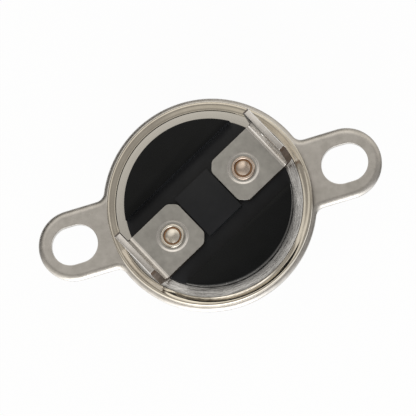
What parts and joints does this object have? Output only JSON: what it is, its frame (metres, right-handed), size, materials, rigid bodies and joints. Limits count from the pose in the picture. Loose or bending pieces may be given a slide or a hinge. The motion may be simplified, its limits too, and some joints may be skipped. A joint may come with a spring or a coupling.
{
  "type": "dryer safety thermostat",
  "caption": "Round snap-disc safety thermostat with a metal sensing cup, a black switch case, upright flat terminals and a flange with slotted ears.",
  "frame": {"origin": "middle of the flat sensing face at the bottom of the cup, on the cup's axis", "axes": "+Z along the cup's axis towards the terminals, +X along the line of the two ear slots"},
  "size_m": [0.0414, 0.025, 0.0174],
  "materials": {
    "flange_steel": "nickel-plated sheet, satin",
    "cup_steel": "drawn sheet, polished, slightly warm",
    "washer_metal": "bright",
    "case_phenolic": "moulded black phenolic, semi-gloss",
    "terminal_metal": "plated sheet, matt",
    "rivet_metal": "coppery, worn smooth",
    "spring_alloy": "copper alloy strip",
    "contact_silver": "silver button",
    "bimetal": "rolled bimetal strip",
    "retainer_phenolic": "moulded brown phenolic",
    "pin_ceramic": "unglazed ceramic, opaque"
  },
  "bodies": {
    "housing": {"mounting_flange": "flange_steel", "sensing_cup": "cup_steel", "rim_washer": "washer_metal", "switch_case": "case_phenolic", "left_terminal": "terminal_metal", "right_terminal": "terminal_metal", "left_rivet": "rivet_metal", "right_rivet": "rivet_metal", "contact_arm": "spring_alloy", "fixed_contact_bar": "spring_alloy", "fixed_contact": "contact_silver", "bimetal_disc": "bimetal", "disc_retainer": "retainer_phenolic"},
    "pin": {"transfer_pin": "pin_ceramic"},
    "contact": {"moving_contact": "contact_silver"}
  },
  "joints": [
    {"name": "pin_lift", "type": "slide", "parent": "housing", "child": "pin", "axis": [0, 0, 1], "range_m": [0, 0.0005], "stiffness_N_per_m": 300, "springref_m": -0.0005, "deforming": ["bimetal_disc"]},
    {"name": "contact_lift", "type": "hinge", "parent": "housing", "child": "contact", "pos_m": [-0.00346, -0.0018, 0.00605], "axis": [0.4617, -0.887, 0], "range_deg": [0, 7.35], "deforming": ["contact_arm"]}
  ],
  "couplings": [
    {"joint": "contact_lift", "follows": "pin_lift", "rad_per_m": 256}
  ]
}
